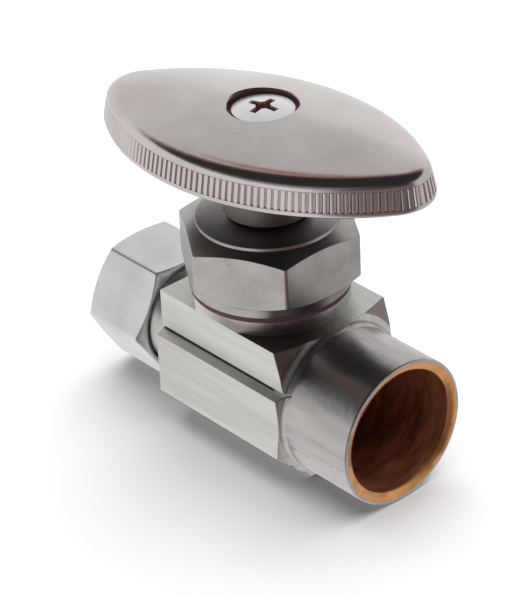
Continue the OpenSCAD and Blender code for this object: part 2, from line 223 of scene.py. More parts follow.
def bar(*ends):
    """Solid between two outlines of (x, y, z) points."""
    bm = bmesh.new()
    faces = [bm.faces.new([bm.verts.new(p) for p in outline]) for outline in ends]
    wall(bm, *(list(face.verts) for face in faces))
    return solid("bar", bm)


def prism(outline, start, end):
    """Outline of (y, z) points drawn along X."""
    return bar(*([(x, y, z) for y, z in outline] for x in (start, end)))


def plain_mesh(piece):
    """Evaluates the modifiers of a piece into its mesh and takes them off."""
    graph = bpy.context.evaluated_depsgraph_get()
    mesh = bpy.data.meshes.new_from_object(piece.evaluated_get(graph), depsgraph=graph)
    piece.modifiers.clear()
    piece.data = mesh
    return piece


def stitch(bm, merge, collapse, sides):
    """Merges near points, drops slivers and closes holes of up to so many sides."""
    bmesh.ops.remove_doubles(bm, verts=bm.verts, dist=merge)
    bmesh.ops.dissolve_degenerate(bm, edges=bm.edges, dist=collapse)
    bmesh.ops.holes_fill(bm, edges=[e for e in bm.edges if e.is_boundary], sides=sides)


def cut(piece, operation, *tools):
    """Joins, subtracts or intersects tools, which are used up."""
    for tool in tools:
        step = piece.modifiers.new("cut", "BOOLEAN")
        step.operation = operation
        step.solver = "EXACT"
        step.object = tool
        plain_mesh(piece)
        bpy.data.objects.remove(tool)
        bm = bmesh.new()
        bm.from_mesh(piece.data)
        stitch(bm, merge=0.002, collapse=0.0005, sides=12)
        bm.to_mesh(piece.data)
        bm.free()
    return piece


def soften(piece, width):
    """Rounds the sharp edges of a finished solid."""
    bm = bmesh.new()
    bm.from_mesh(piece.data)
    bmesh.ops.remove_doubles(bm, verts=bm.verts, dist=0.004)
    bmesh.ops.dissolve_limit(bm, angle_limit=math.radians(0.4), verts=bm.verts, edges=bm.edges)
    bm.to_mesh(piece.data)
    bm.free()
    step = piece.modifiers.new("soften", "BEVEL")
    step.width = width
    step.segments = 2
    step.limit_method = "ANGLE"
    step.angle_limit = math.radians(40)
    step.use_clamp_overlap = False
    return plain_mesh(piece)


def finished(piece, name, body, slot, material, *nodes):
    """Names a piece, scales it to metres, shades it, hangs it under its body's empty, and hides the nodes
    that it stands for.
    """
    mesh = piece.data
    bm = bmesh.new()
    bm.from_mesh(mesh)
    stitch(bm, merge=1e-4, collapse=1e-4, sides=20)
    for face in bm.faces:
        face.smooth = True
    for edge in bm.edges:
        edge.smooth = edge.calc_face_angle(0) < SHARP
    bm.to_mesh(mesh)
    bm.free()
    mesh.transform(Matrix.Scale(MM, 4))
    mesh.materials.clear()
    mesh.materials.append(material)
    piece.name = name
    mesh.name = name
    weigh = piece.modifiers.new("weigh", "WEIGHTED_NORMAL")
    weigh.keep_sharp = True
    plain_mesh(piece)
    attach(piece, body)
    if nodes:
        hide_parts(*nodes)


# ---------------------------------------------------------------- node trees

class Value:
    """A node's output; arithmetic on it adds Math nodes."""

    def __init__(self, tree, socket):
        self.tree = tree
        self.socket = socket

    def math(self, operation, other=None, swap=False):
        node = self.tree.nodes.new("ShaderNodeMath")
        node.operation = operation
        terms = [other, self] if swap else [self, other]
        for plug, term in zip(node.inputs, terms):
            if term is not None:
                connect(self.tree, term, plug)
        return Value(self.tree, node.outputs[0])

    def __add__(self, other):
        return self.math("ADD", other)

    def __radd__(self, other):
        return self.math("ADD", other)

    def __sub__(self, other):
        return self.math("SUBTRACT", other)

    def __rsub__(self, other):
        return self.math("SUBTRACT", other, swap=True)

    def __mul__(self, other):
        return self.math("MULTIPLY", other)

    def __rmul__(self, other):
        return self.math("MULTIPLY", other)

    def __pow__(self, other):
        return self.math("POWER", other)

    def __abs__(self):
        return self.math("ABSOLUTE")

    def above(self, low, high):
        """0 below low, 1 above high, smooth between."""
        node = self.tree.nodes.new("ShaderNodeMapRange")
        node.interpolation_type = "SMOOTHSTEP"
        for plug, term in zip(node.inputs, (self, low, high, 0.0, 1.0)):
            connect(self.tree, term, plug)
        return Value(self.tree, node.outputs[0])


def connect(tree, term, plug):
    """Links a Value to a socket, or sets the socket to what is given."""
    if isinstance(term, Value):
        tree.links.new(term.socket, plug)
    else:
        plug.default_value = term


def distance(a, b):
    """Value of the distance from an axis."""
    return (a * a + b * b) ** 0.5


def rgb(r, g, b):
    return (r, g, b, 1.0)


class Tree:
    """A node tree under construction."""

    def __init__(self, tree):
        self.tree = tree

    def add(self, kind, settings, sockets, out=0):
        """Adds a node, sets it up, connects its inputs, and gives one of its outputs."""
        node = self.tree.nodes.new(kind)
        for key, setting in settings.items():
            setattr(node, key, setting)
        for key, term in sockets.items():
            connect(self.tree, term, node.inputs[key])
        return Value(self.tree, node.outputs[out])

    def mix(self, share, first, second):
        return self.add("ShaderNodeMix", {"data_type": "RGBA"}, {0: share, 6: first, 7: second}, 2)


class Finish(Tree):
    """A material under construction. Its coordinates are millimetres in the part's frame."""

    def __init__(self, name, metallic=1.0):
        self.material = bpy.data.materials.new(name)
        self.material.use_nodes = True
        super().__init__(self.material.node_tree)
        self.shader = self.tree.nodes["Principled BSDF"]
        self.shader.inputs["Metallic"].default_value = metallic
        place = self.add("ShaderNodeTexCoord", {}, {}, "Object")
        self.place = self.add("ShaderNodeVectorMath", {"operation": "SCALE"},
                              {0: place, "Scale": 1 / MM})
        self.x, self.y, self.z = (self.add("ShaderNodeSeparateXYZ", {}, {0: self.place}, axis)
                                  for axis in "XYZ")

    def vector(self, x, y, z):
        return self.add("ShaderNodeCombineXYZ", {}, {0: x, 1: y, 2: z})

    def noise(self, place, scale, detail=3.0, rough=0.5):
        return self.add("ShaderNodeTexNoise", {},
                        {"Vector": place, "Scale": scale, "Detail": detail, "Roughness": rough})

    def scratches(self, along, across, up, share):
        """Mask of fine straight scratches that run along the first coordinate."""
        lines = self.noise(self.vector(along * 0.035, across * 2.6, up * 2.6), 1.0, 2.0)
        broken = self.noise(self.vector(along * 0.3, across * 0.3, up * 0.3), 1.0, 2.0)
        return lines.above(share, share + 0.05) * broken.above(0.42, 0.6)

    def done(self, color, roughness, *bumps, metallic=None):
        """The material; bumps are (height in millimetres, strength), one on top of the other."""
        connect(self.tree, color, self.shader.inputs["Base Color"])
        connect(self.tree, roughness, self.shader.inputs["Roughness"])
        if metallic is not None:
            connect(self.tree, metallic, self.shader.inputs["Metallic"])
        below = {}
        for height, strength in bumps:
            normal = self.add("ShaderNodeBump", {},
                              {"Height": height, "Distance": MM, "Strength": strength, **below})
            below = {"Normal": normal}
        if below:
            connect(self.tree, below["Normal"], self.shader.inputs["Normal"])
        return self.material


class Rule(Tree):
    """A shape under construction in Geometry Nodes, with named inputs and their values."""

    KINDS = {float: "NodeSocketFloat", int: "NodeSocketInt", bpy.types.Object: "NodeSocketObject"}

    def __init__(self, name, inputs):
        super().__init__(bpy.data.node_groups.new(name, "GeometryNodeTree"))
        self.inputs = inputs
        face = self.tree.interface
        face.new_socket("Geometry", in_out="INPUT", socket_type="NodeSocketGeometry")
        self.plugs = {key: face.new_socket(key, in_out="INPUT", socket_type=self.KINDS[type(value)])
                      for key, value in inputs.items()}
        face.new_socket("Geometry", in_out="OUTPUT", socket_type="NodeSocketGeometry")
        self.source = self.tree.nodes.new("NodeGroupInput")

    def given(self, name):
        """A named input, or "Geometry" for the mesh that the rule starts from."""
        return Value(self.tree, self.source.outputs[name])

    def build(self, piece, shape, material):
        """Ends the tree in plain geometry with a material, and makes it the mesh of a piece."""
        real = self.add("GeometryNodeRealizeInstances", {}, {0: shape})
        coated = self.add("GeometryNodeSetMaterial", {}, {0: real, "Material": material})
        connect(self.tree, coated, self.tree.nodes.new("NodeGroupOutput").inputs[0])
        step = piece.modifiers.new(self.tree.name, "NODES")
        step.node_group = self.tree
        for key, value in self.inputs.items():
            step[self.plugs[key].identifier] = value
        return plain_mesh(piece)


# ---------------------------------------------------------------- finishes

def body_plate():
    """Dull plate with lengthwise draw lines, and bare brown metal inside the cup."""
    made = Finish("body_plate")
    x, y, z = made.x, made.y, made.z
    across = z - AXIS_Z
    out = distance(y, across)
    barrel = x.above(BLOCK_CUP_END - 0.6, BLOCK_CUP_END + 0.4)
    drawn = made.noise(made.vector(x * 0.02, y, z), 3.2, 6.0, 0.75)
    streak = made.noise(made.vector(x * 0.05, y * 0.7, z * 0.7), 0.9, 3.0, 0.6)
    grain = drawn * (1 - barrel * 0.5)
    smudge = made.noise(made.place, 0.16, 3.0, 0.6)
    fine = made.noise(made.vector(x * 0.4, y * 0.25, z * 0.25), 1.7, 2.0)
    marks = made.scratches(x, y, z, 0.66) * barrel
    nicks = made.scratches(x + y * 0.6, y * 1.2 + z, z - x * 0.8, 0.67) * (0.35 + 0.65 * barrel)
    scars = marks + nicks

    # plate: light on the block, greyer on the barrel, dark in the scratches
    block = made.mix(streak.above(0.3, 0.75), rgb(0.665, 0.67, 0.655), rgb(0.55, 0.55, 0.54))
    tube = made.mix(streak.above(0.3, 0.7), rgb(0.53, 0.52, 0.515), rgb(0.4, 0.39, 0.385))
    plate = made.mix(barrel, block, tube)
    plate = made.mix(scars.above(0.0, 1.0) * 0.7, plate, rgb(0.2, 0.19, 0.185))

    # painted shade in the side groove, up to a little short of the barrel
    half = abs(y)
    groove_shade = (1 - half.above(UPPER_HALF - 0.16, UPPER_HALF - 0.04)) \
        * half.above(UPPER_HALF - 0.78, UPPER_HALF - 0.68) \
        * z.above(GROOVE_FOOT - 0.05, GROOVE_FOOT + 0.03) \
        * (1 - z.above(GROOVE_TOP - 0.08, GROOVE_TOP + 0.04)) \
        * (1 - x.above(BLOCK_CUP_END - 2.5, BLOCK_CUP_END - 2.0))
    plate = made.mix(groove_shade * 0.85, plate, rgb(0.07, 0.065, 0.065))

    # painted dark reflection on the face round the barrel, and on the block's top by the neck, towards
    # the cup and -Y
    end_face = (x + out * END_CONE).above(END_LINE - 0.12, END_LINE - 0.04) \
        * out.above(BARREL_R + 0.1, BARREL_R + 0.5) * z.above(1.0, 9.0)
    top_face = z.above(BLOCK_TOP - 0.06, BLOCK_TOP - 0.02) \
        * (1 - z.above(BLOCK_TOP + 0.8, BLOCK_TOP + 2.6)) * (1 - y.above(-5.0, 3.5)) * x.above(-4.0, 3.0)
    dark_reflection = end_face * 0.7 + top_face * 0.72 * (1 - end_face)
    plate = made.mix(dark_reflection, plate, rgb(0.115, 0.085, 0.08))

    # bare metal inside the cup, brightest on the turned chamfer
    bare = (1 - out.above(CHAMFER_R - 0.08, CHAMFER_R + 0.1)) * x.above(CUP_FLOOR - 0.2, CUP_FLOOR + 0.3)
    chamfer = out.above(CUP_R + 0.03, CUP_R + 0.1) * bare
    stain = made.noise(made.vector(x * 1.5, y * 0.45, across * 0.45), 0.42, 5.0, 0.62)
    spun = made.noise(made.vector(x * 4.0, out * 2.0, 0.0), 1.0, 3.0, 0.6)
    copper = made.mix(stain.above(0.32, 0.7), rgb(0.2, 0.058, 0.032), rgb(0.5, 0.19, 0.095))
    fresh = chamfer * (0.3 + 0.7 * stain.above(0.3, 0.6))
    copper = made.mix(fresh, copper, rgb(0.76, 0.37, 0.14))

    polish = (0.3 - 0.03 * barrel) + 0.1 * smudge + (0.12 - 0.06 * barrel) * grain
    roughness = polish * (1 - bare) + (0.46 - 0.24 * chamfer) * bare
    return made.done(made.mix(bare, plate, copper), roughness,
                     (grain, 0.045), (fine, 0.05), (scars * -1.0, 0.02), (spun * bare, 0.02),
                     metallic=1 - bare * 0.45 * (1 - chamfer * 0.8))


def bonnet_plate():
    """Grey plate, turned on the top and milled on the flats, with a few dents."""
    made = Finish("bonnet_plate")
    x, y, z = made.x, made.y, made.z
    turned = made.noise(made.vector(distance(x, y), 0.0, z * 3.0), 4.2, 4.0, 0.7)
    milled = made.noise(made.vector(x * 0.25, y * 0.25, z * 2.0), 1.8, 4.0, 0.6)
    top = (z - BONNET_HIGH.z).above(-0.9, -0.6)
    grain = turned * top + milled * (1 - top)
    smudge = made.noise(made.place, 0.2, 3.0, 0.6)
    marks = made.scratches(x + y, y - x, z * 1.5, 0.7)
    dents = made.noise(made.place, 1.1, 1.0).above(0.74, 0.8)
    color = made.mix(smudge.above(0.35, 0.7), rgb(0.455, 0.44, 0.435), rgb(0.37, 0.36, 0.355))
    color = made.mix(marks * 0.7, color, rgb(0.16, 0.15, 0.15))
    return made.done(color, 0.22 + 0.1 * smudge + 0.12 * grain,
                     (grain, 0.025), (marks * -1.0, 0.02), (dents * -1.0, 0.06))


def nut_plate():
    """Light plate with faint draw lines."""
    made = Finish("nut_plate")
    drawn = made.noise(made.vector(made.x * 0.04, made.y, made.z), 2.6, 5.0, 0.65)
    smudge = made.noise(made.place, 0.22, 3.0, 0.6)
    marks = made.scratches(made.x, made.y, made.z, 0.7)
    color = made.mix(smudge.above(0.35, 0.7), rgb(0.70, 0.705, 0.71), rgb(0.64, 0.64, 0.65))
    color = made.mix(marks * 0.6, color, rgb(0.3, 0.3, 0.31))
    return made.done(color, 0.24 + 0.1 * smudge + 0.1 * drawn, (drawn, 0.025))


def handle_plate():
    """Bright plate over the casting; the handle's attribute for its cast inside leaves the underside
    rough and dark, and paints shade on the hub.
    """
    made = Finish("handle_plate")
    x, y, z = made.x, made.y, made.z
    cast_and_hub_shade = made.add("ShaderNodeAttribute", {"attribute_name": "cast_inside"}, {}, "Fac")
    smudge = made.noise(made.place, 0.09, 4.0, 0.55)
    haze = made.noise(made.vector(x + y, y - x, z), 0.5, 3.0, 0.6)
    peel = made.noise(made.place, 1.0, 2.0)
    pits = made.noise(made.place, 2.2, 2.0).above(0.74, 0.8)
    grit = made.noise(made.place, 1.4, 5.0, 0.7)
    marks = made.scratches(x + y, y - x, z, 0.71)
    plate = made.mix(smudge.above(0.3, 0.75), rgb(0.60, 0.57, 0.565), rgb(0.50, 0.465, 0.46))
    plate = made.mix(pits * 0.6, plate, rgb(0.25, 0.2, 0.19))
    plate = made.mix(marks * 0.35, plate, rgb(0.3, 0.26, 0.25))
    # the recess for the screw is duller and browner
    well = (1 - distance(x, y).above(RECESS_R - 0.02, RECESS_R + 0.06)) \
        * z.above(RECESS_FLOOR - 0.3, RECESS_FLOOR - 0.1)
    plate = made.mix(well * 0.8, plate, rgb(0.5, 0.36, 0.32))
    # dark rough-cast colour, also used as painted shade on the hub
    rough_cast = made.mix(grit, rgb(0.085, 0.08, 0.075), rgb(0.17, 0.16, 0.15))
    roughness = (0.1 + 0.09 * smudge + 0.06 * haze + 0.3 * well) * (1 - cast_and_hub_shade) + 0.6 * cast_and_hub_shade
    return made.done(made.mix(cast_and_hub_shade, plate, rough_cast), roughness,
                     (peel, 0.014), (grit * cast_and_hub_shade, 0.1), (pits * -1.0, 0.02))


def screw_plate():
    """Bright zinc, dark brown in the cross."""
    made = Finish("screw_plate")
    out = distance(made.x, made.y)
    turned = made.noise(made.vector(out, 0.0, made.z), 3.5, 3.0, 0.6)
    smudge = made.noise(made.place, 0.6, 3.0)
    cross = (1 - out.above(CROSS_LONG / 2 - 0.05, CROSS_LONG / 2 + 0.1)) \
        * (1 - made.z.above(SCREW_TOP - 0.35, SCREW_TOP - 0.25))
    color = made.mix(smudge, rgb(0.86, 0.86, 0.87), rgb(0.74, 0.74, 0.75))
    color = made.mix(cross, color, rgb(0.16, 0.075, 0.06))
    return made.done(color, 0.26 + 0.12 * smudge + 0.3 * cross, (turned, 0.01), metallic=1 - cross * 0.8)


def brass():
    """Machined brass, unplated."""
    made = Finish("brass")
    turned = made.noise(made.vector(distance(made.x, made.y), 0.0, made.z * 2.0), 3.0, 3.0, 0.6)
    smudge = made.noise(made.place, 0.35, 3.0)
    color = made.mix(smudge, rgb(0.72, 0.5, 0.2), rgb(0.58, 0.38, 0.15))
    return made.done(color, 0.24 + 0.14 * smudge, (turned, 0.015))


def rubber():
    made = Finish("rubber", 0.0)
    bloom = made.noise(made.place, 0.9, 4.0)
    color = made.mix(bloom, rgb(0.018, 0.018, 0.02), rgb(0.04, 0.04, 0.042))
    return made.done(color, 0.5 + 0.25 * bloom, (bloom, 0.02))


def fibre():
    made = Finish("fibre", 0.0)
    felt = made.noise(made.place, 2.6, 5.0, 0.7)
    color = made.mix(felt, rgb(0.07, 0.03, 0.025), rgb(0.14, 0.06, 0.045))
    return made.done(color, 0.55 + 0.3 * felt, (felt, 0.05))


def white_plastic():
    made = Finish("white_plastic", 0.0)
    wax = made.noise(made.place, 0.8, 3.0)
    color = made.mix(wax, rgb(0.8, 0.8, 0.78), rgb(0.7, 0.7, 0.68))
    return made.done(color, 0.4 + 0.15 * wax, (wax, 0.02))


# ---------------------------------------------------------------- valve body

def side_outline():
    """Outline across the flow, up past the neck: groove above the ledge, chamfers below."""
    half = [(BASE_HALF, 0.0), (LOWER_HALF, FOOT_Z), (LOWER_HALF, LEDGE_Z), (UPPER_HALF, GROOVE_FOOT),
            (UPPER_HALF - GROOVE_DEEP, GROOVE_MIDDLE), (UPPER_HALF, GROOVE_TOP),
            (UPPER_HALF, NECK_TOP + PAST)]
    return [(-y, z) for y, z in half] + [(y, z) for y, z in reversed(half)]


def block_and_neck():
    """Turned end faces cut to the block's height, the neck on top, and the sides cut through both."""
    reach, slab_half = 15.0, 20.0  # both outside the block
    face_end = FILLET_FOOT + BARREL_FILLET
    fillet = [(BARREL_R + BARREL_FILLET * (1 - math.sin(a)),
               FILLET_FOOT + BARREL_FILLET * (1 - math.cos(a))) for a in arc(*range(9, 75, 9))]
    ends = lathe([(0, BLOCK_NUT_END), (reach, BLOCK_NUT_END),
                  (reach, FILLET_FOOT - (reach - FILLET_R) * END_CONE), (FILLET_R, FILLET_FOOT), *fillet,
                  (BARREL_R - 0.15, face_end), (0, face_end)], "X")
    slab = prism([(-reach, -PAST), (reach, -PAST), (reach, BLOCK_TOP), (-reach, BLOCK_TOP)],
                 -slab_half, slab_half)
    neck = rod(NECK_R, NECK_FOOT, NECK_TOP)
    sides = prism(side_outline(), BLOCK_NUT_END - PAST, face_end + PAST)
    return cut(cut(cut(ends, "INTERSECT", slab), "UNION", neck), "INTERSECT", sides)


def valve_body():
    """Block and neck, then the barrel and the outlet, then everything that is bored out."""
    piece = block_and_neck()
    barrel = lathe(rounded([(0, 0), (BARREL_R, 0), (BARREL_R, CUP_MOUTH), (0, CUP_MOUTH)], radius=0.3),
                   "X", FINE_STEPS)
    core, relief_end = THREAD_R - THREAD_DEPTH, BLOCK_NUT_END - RELIEF_LONG
    inside = -1  # anywhere within the block
    outlet = lathe([(0, inside), (RELIEF_R, inside), (RELIEF_R, relief_end), (core, relief_end),
                    (core, OUTLET_END), (0, OUTLET_END)], "X", steps=96)
    cut(piece, "UNION", barrel, outlet)

    cup = lathe([(0, CUP_FLOOR), (CUP_R - CUP_STEP, CUP_FLOOR), (CUP_R, CUP_FLOOR + CUP_STEP),
                 (CUP_R, CUP_MOUTH - CHAMFER_LONG), (CHAMFER_R, CUP_MOUTH),
                 (CHAMFER_R, CUP_MOUTH + PAST), (0, CUP_MOUTH + PAST)], "X", FINE_STEPS)
    inlet_way = rod(INLET_R, INLET_END, CUP_FLOOR + PAST, "X", INLET_Z)
    seat = rod(SEAT_R, INLET_Z, NECK_TOP)
    chamber = lathe([(0, SEAT_TOP), (SEAT_LIP_R, SEAT_TOP), (SEAT_ROOT_R, CHAMBER_FLOOR),
                     (CHAMBER_R, CHAMBER_FLOOR), (CHAMBER_R, CHAMBER_TOP), (0, CHAMBER_TOP)])
    neck_bore = rod(NECK_BORE_R, NECK_BORE_FOOT, NECK_TOP + PAST)
    outlet_way = rod(OUTLET_R, OUTLET_OUTER, OUTLET_INNER, "X", OUTLET_Z)
    tube = lathe([(0, OUTLET_END - PAST), (TUBE_MOUTH_R, OUTLET_END - PAST),
                  (TUBE_R, OUTLET_END + TUBE_CONE), (TUBE_R, TUBE_STOP), (0, TUBE_STOP)], "X")
    cut(piece, "DIFFERENCE", cup, inlet_way, seat, chamber, neck_bore, outlet_way, tube)
    return soften(piece, width=0.09)


def outlet_thread(material):
    """Right-handed ridge wound along the outlet, made by Geometry Nodes."""
    start = 1.9 - BLOCK_NUT_END
    length = -OUTLET_END - 0.35 - start
    sink = 0.05  # the ridge's foot lies this deep in the outlet's core
    rule = Rule("thread", {"Turns": length / THREAD_PITCH, "Root radius": THREAD_R - THREAD_DEPTH - sink,
                           "Length": length, "Ridge height": THREAD_DEPTH + sink})
    root, height = rule.given("Root radius"), rule.given("Ridge height")
    spiral = rule.add("GeometryNodeCurveSpiral", {},
                      {"Resolution": 64, "Rotations": rule.given("Turns"), "Height": rule.given("Length"),
                       "Start Radius": root, "End Radius": root})
    level = rule.add("GeometryNodeSetCurveNormal", {"mode": "Z_UP"}, {"Curve": spiral})
    section = rule.add("GeometryNodeCurvePrimitiveQuadrilateral", {"mode": "TRAPEZOID"},
                       {"Bottom Width": THREAD_PITCH * 0.9, "Top Width": THREAD_PITCH * 0.16,
                        "Offset": 0.0, "Height": height})
    lift = rule.add("ShaderNodeCombineXYZ", {}, {1: height * 0.5})
    section = rule.add("GeometryNodeTransform", {}, {"Geometry": section, "Translation": lift})
    ridge = rule.add("GeometryNodeCurveToMesh", {},
                     {"Curve": level, "Profile Curve": section, "Fill Caps": True})
    piece = rule.build(placed("ridge", bpy.data.meshes.new("ridge")), ridge, material)
    piece.data.transform(on_flow_axis(-math.pi / 2) @ Matrix.Translation((0, 0, start)))
    return piece


# ---------------------------------------------------------------- bonnet and nut

def corner_radius(flats):
    """Radius over the corners of a hexagon with this distance across its flats."""
    return flats / 2 / math.cos(math.pi / 6)


def hexagon(flats, outline, turn):
    """Hexagonal bar about Z with rounded corners, cut to a turned outline."""
    r, half_long = corner_radius(flats), 60
    corners = [(r * math.cos(turn + k * math.pi / 3), r * math.sin(turn + k * math.pi / 3))
               for k in range(6)]
    stock = bar(*([(x, y, z) for x, y in rounded(corners, 0.6)] for z in (-half_long, half_long)))
    return cut(stock, "INTERSECT", lathe(outline))


def thread_outline(crest, pitch, start, end):
    """Ridged thread profile between two stations, closed on the axis."""
    count = int((end - start) / pitch)
    first = start + (end - start - count * pitch) / 2
    root = crest - THREAD_SHARE * pitch
    points = [(0, start), (root - 0.2, start), (root, first)]
    for k in range(count):
        points += [(crest, first + (k + 0.42) * pitch), (crest, first + (k + 0.58) * pitch),
                   (root, first + (k + 1) * pitch)]
    return points + [(root - 0.2, end), (0, end)]


def bonnet():
    """Hexagon with a coned top and a low boss, on a collar and a threaded spigot."""
    flats, hex_foot = 20.34, 23.0
    cone_r, cone_z, cone_slope = 8.95, 30.35, 0.41
    reach = corner_radius(flats) + 0.3
    hexed = hexagon(flats, [(0, hex_foot), (flats / 2, hex_foot),
                            (reach, hex_foot + (reach - flats / 2) * HEX_SLOPE),
                            (reach, cone_z - (reach - cone_r) * cone_slope),
                            (cone_r, cone_z), (0, cone_z)], turn=math.radians(28))
    boss_r, boss_edge, boss_top_r = 8.86, 30.77, 5.5
    boss = lathe(rounded([(0, cone_z - PAST), (boss_r, cone_z - PAST), (boss_r, boss_edge),
                          (boss_top_r, BONNET_HIGH.z), (0, BONNET_HIGH.z)], radius=0.06))
    collar_r, collar_foot = 10.1, hex_foot - 1.2
    collar = lathe(rounded([(0, collar_foot), (collar_r, collar_foot), (collar_r, hex_foot + PAST),
                            (0, hex_foot + PAST)], radius=0.2))
    spigot = lathe(thread_outline(crest=8.0, pitch=1.25, start=BONNET_LOW.z, end=collar_foot + 0.2),
                   steps=96)
    piece = cut(hexed, "UNION", boss, collar, spigot)

    # bore, from below: room for the disc, stem thread, packing, stem hole
    disc_r, disc_top = 6, 19.7
    thread_r, thread_foot, thread_top = 4.95, 20.3, 26.7
    packing_r, packing_top = 4.3, 30.02
    hole_r, hole_top, flare_r = 3.16, 31.0, 3.5
    below, over = BONNET_LOW.z - PAST, 32
    bore = lathe([(0, below), (disc_r, below), (disc_r, disc_top), (thread_r, thread_foot),
                  (thread_r, thread_top), (packing_r, thread_top), (packing_r, packing_top),
                  (hole_r, packing_top), (hole_r, hole_top), (flare_r, over), (0, over)])
    return soften(cut(piece, "DIFFERENCE", bore), width=0.08)


def compression_nut():
    """Hexagon chamfered at both ends, bored for the thread, the sleeve's cone and the tube."""
    start, end = -NUT_HIGH.x, -NUT_LOW.x
    flats, face_r, tilt = 15.875, 7.7, math.radians(1.9)
    reach = corner_radius(flats) + 0.3
    fall = (reach - face_r) * HEX_SLOPE
    piece = hexagon(flats, [(0, start), (face_r, start), (reach, start + fall), (reach, end - fall),
                            (face_r, end), (0, end)], turn=0)
    thread_r, lead_in, thread_long = THREAD_R + 0.08, 0.45, 7.3
    cone_r, cone_start, cone_end = 5.85, 7.95, 8.95
    mouth = 0.3
    bore = lathe([(0, start - PAST), (thread_r + lead_in, start - PAST), (thread_r + lead_in, start),
                  (thread_r, start + lead_in), (thread_r, start + thread_long),
                  (cone_r, start + cone_start), (TUBE_R, start + cone_end), (TUBE_R, end - mouth),
                  (TUBE_R + mouth, end), (TUBE_R + mouth, end + PAST), (0, end + PAST)])
    soften(cut(piece, "DIFFERENCE", bore), width=0.09)
    lay_down = (Matrix.Translation((0, 0, AXIS_Z)) @ Matrix.Rotation(tilt, 4, "X")
                @ Matrix.Rotation(-math.pi / 2, 4, "Y") @ Matrix.Rotation(math.pi / 6, 4, "Z"))
    piece.data.transform(lay_down)
    return piece


# ---------------------------------------------------------------- handle

def outline_points(inset, tip_steps, side_steps):
    """The handle's outline drawn in by inset, as (x, y) points."""
    centre = HANDLE_LONG - HANDLE_POINT
    waist = HANDLE_WIDE - HANDLE_POINT
    arc_radius = (centre ** 2 + waist ** 2) / (2 * waist)
    arc_centre = arc_radius - waist
    join = math.atan2(arc_centre, centre)
    side = arc_radius + HANDLE_POINT - inset
    tip = HANDLE_POINT - inset
    arcs = [(centre, 0, tip, -join, join, tip_steps),
            (0, -arc_centre, side, join, math.pi - join, side_steps),
            (-centre, 0, tip, math.pi - join, math.pi + join, tip_steps),
            (0, arc_centre, side, math.pi + join, math.tau - join, side_steps)]
    for x, y, r, start, end, steps in arcs:
        for k in range(steps):
            a = start + (end - start) * k / steps
            yield x + r * math.cos(a), y + r * math.sin(a)


def outline_ring(inset, height, scale=1.0):
    """The outline drawn in and then shrunk about its middle, at one height."""
    return [(x * scale, y * scale, height) for x, y in outline_points(inset, TIP_STEPS, SIDE_STEPS)]


EDGE_RING = outline_ring(EDGE_INSET, 0)


def crown_height(x, y):
    """Height of the domed top over a place, from how far out it is on the outline."""
    angle = math.atan2(y, x)
    best = min(EDGE_RING, key=lambda p: abs(math.remainder(math.atan2(p[1], p[0]) - angle, math.tau)))
    share = math.hypot(x, y) / math.hypot(best[0], best[1])
    return LIP_Z + EDGE_RISE + CROWN_RISE * (1 - min(share, 1) ** 2)


def on_crown(ring):
    """Ring laid on the domed top."""
    return [(x, y, crown_height(x, y)) for x, y, _ in ring]


def circle_ring(r, height, flats=None):
    """Circle with its points in the outline's directions, squared off where flats are given."""
    ring = []
    for x, y, _ in EDGE_RING:
        a = math.atan2(y, x)
        reach = min(r, flats / 2 / max(abs(math.cos(a)), abs(math.sin(a)))) if flats else r
        ring.append((reach * math.cos(a), reach * math.sin(a), height))
    return ring


def blend_rings(first, second, share):
    """Ring part of the way from the first to the second."""
    return [tuple(a + (b - a) * share for a, b in zip(p, q)) for p, q in zip(first, second)]


def rim_rings():
    """Rolled lip from its inner edge round to the outside, then the channel that the ribs fill."""
    ribs_foot = LIP_Z + RIB_FOOT
    ribs_top = ribs_foot + RIB_LONG
    rings = [outline_ring(1.15, LIP_Z + 0.12), outline_ring(0.85, LIP_Z)]
    rings += [outline_ring(LIP_ROLL * (1 - math.sin(a)), LIP_Z + LIP_ROLL * (1 - math.cos(a)))
              for a in arc(0, 30, 60, 90)]
    rings += [outline_ring(0.0, LIP_Z + 0.6), outline_ring(0.04, LIP_Z + 0.7),
              outline_ring(RIB_DEPTH - 0.03, ribs_foot - 0.04)]
    rings += [outline_ring(RIB_DEPTH + RIM_SLOPE * t, ribs_foot + t)
              for t in (0, RIB_LONG / 2, RIB_LONG)]
    rings += [outline_ring(RIM_INSET + 0.02, ribs_top + 0.1)]
    return rings


def top_rings():
    """Rounded shoulder, domed crown, the screw's recess with its floor."""
    round_in, round_up, drop = 2.1, 1.7, 1.58
    rings = [outline_ring(RIM_INSET + 0.04 + round_in * (1 - math.cos(a)),
                          LIP_Z + EDGE_RISE - drop + round_up * math.sin(a))
             for a in arc(6, 14, 22, 30, 38, 46, 54, 61, 66)]
    rings += [on_crown(outline_ring(EDGE_INSET, 0, share))
              for share in (0.985, 0.95, 0.9, 0.82, 0.72, 0.62)]
    last, brink = rings[-1], on_crown(circle_ring(RECESS_R + 0.5, 0))
    rings += [on_crown(blend_rings(last, brink, share)) for share in (0.35, 0.7)]
    rings += [on_crown(circle_ring(RECESS_R + wider, 0)) for wider in (0.3, 0.12)]
    rings += [[(x, y, z - 0.12) for x, y, z in on_crown(circle_ring(RECESS_R, 0))]]
    rings += [circle_ring(RECESS_R, RECESS_FLOOR + 0.1), circle_ring(RECESS_R - 0.1, RECESS_FLOOR)]
    return rings


def bore_rings():
    """Screw's hole, the square for the stem, and the round bore under it down to the hub's foot."""
    screw_r, square_top, square_foot = 2.2, STEM_TOP + 0.1, 36
    bore, flats = 3.15, 4.9
    return [circle_ring(screw_r, RECESS_FLOOR), circle_ring(screw_r, square_top),
            circle_ring(bore, square_top, flats), circle_ring(bore, square_foot, flats),
            circle_ring(bore, square_foot - 0.1), circle_ring(bore, HUB_FOOT + 0.3),
            circle_ring(bore + 0.3, HUB_FOOT)]


